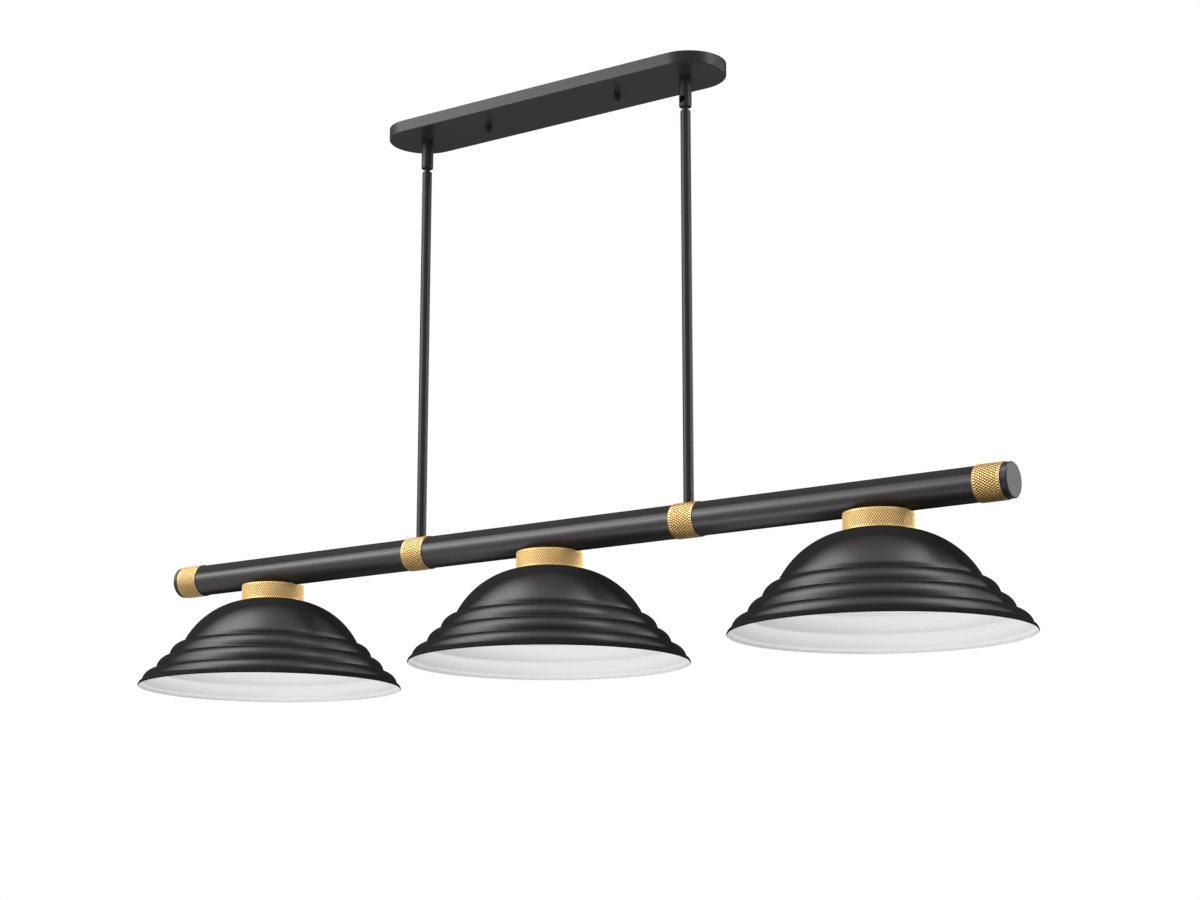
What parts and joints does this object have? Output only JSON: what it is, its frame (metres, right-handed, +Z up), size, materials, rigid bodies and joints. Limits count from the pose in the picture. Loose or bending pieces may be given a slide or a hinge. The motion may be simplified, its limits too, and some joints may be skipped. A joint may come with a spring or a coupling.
{
  "type": "billiard light",
  "caption": "Linear ceiling pendant: stepped black metal shades under a round bar, hung on swivelling rods from a long canopy, with knurled brass sleeves and shade holders.",
  "frame": {"origin": "middle of the outlet box screw pattern, on the ceiling plane at the centre of the canopy", "axes": "+X along the bar and the canopy, +Z up to the ceiling, -Y the front that the picture shows"},
  "size_m": [1.294, 0.356, 0.75],
  "materials": {
    "satin_black": "satin powder coat",
    "shade_enamel": "satin black outside, matt white inside",
    "knurled_brass": "diamond knurled, brushed",
    "zinc_steel": "zinc plated",
    "ground_green": "green dyed zinc",
    "lampholder_black": "moulded phenolic",
    "shell_metal": "rolled, nickel bright",
    "contact_brass": "stamped"
  },
  "bodies": {
    "canopy": {"canopy": "satin_black", "mounting_strap": "zinc_steel", "mounting_studs": "zinc_steel", "canopy_cap_nuts": "satin_black", "ground_screw": "ground_green", "swivel_socket_left": "satin_black", "swivel_socket_right": "satin_black", "swivel_washers": "zinc_steel", "swivel_locknuts": "zinc_steel"},
    "pendant": {"bar_tube": "satin_black", "centre_contact_left": "contact_brass", "centre_contact_middle": "contact_brass", "centre_contact_right": "contact_brass", "downrod_left": "satin_black", "downrod_right": "satin_black", "end_cap_left": "satin_black", "end_cap_right": "satin_black", "end_sleeve_left": "knurled_brass", "end_sleeve_right": "knurled_brass", "holder_pipe_left": "zinc_steel", "holder_pipe_middle": "zinc_steel", "holder_pipe_right": "zinc_steel", "lampholder_left": "lampholder_black", "lampholder_middle": "lampholder_black", "lampholder_right": "lampholder_black", "pipe_locknuts": "zinc_steel", "rod_coupling_left": "satin_black", "rod_coupling_right": "satin_black", "rod_locknuts": "zinc_steel", "rod_sleeve_left": "knurled_brass", "rod_sleeve_right": "knurled_brass", "screw_shell_left": "shell_metal", "screw_shell_middle": "shell_metal", "screw_shell_right": "shell_metal", "shade_holder_left": "knurled_brass", "shade_holder_middle": "knurled_brass", "shade_holder_right": "knurled_brass", "shade_left": "shade_enamel", "shade_middle": "shade_enamel", "shade_right": "shade_enamel", "shade_ring_left": "lampholder_black", "shade_ring_middle": "lampholder_black", "shade_ring_right": "lampholder_black", "swivel_ball_left": "satin_black", "swivel_ball_right": "satin_black"}
  },
  "joints": [
    {"name": "pendant_swing", "type": "hinge", "parent": "canopy", "child": "pendant", "pos_m": [0, 0, -0.051], "axis": [1, 0, 0], "range_deg": [-20, 20]}
  ]
}
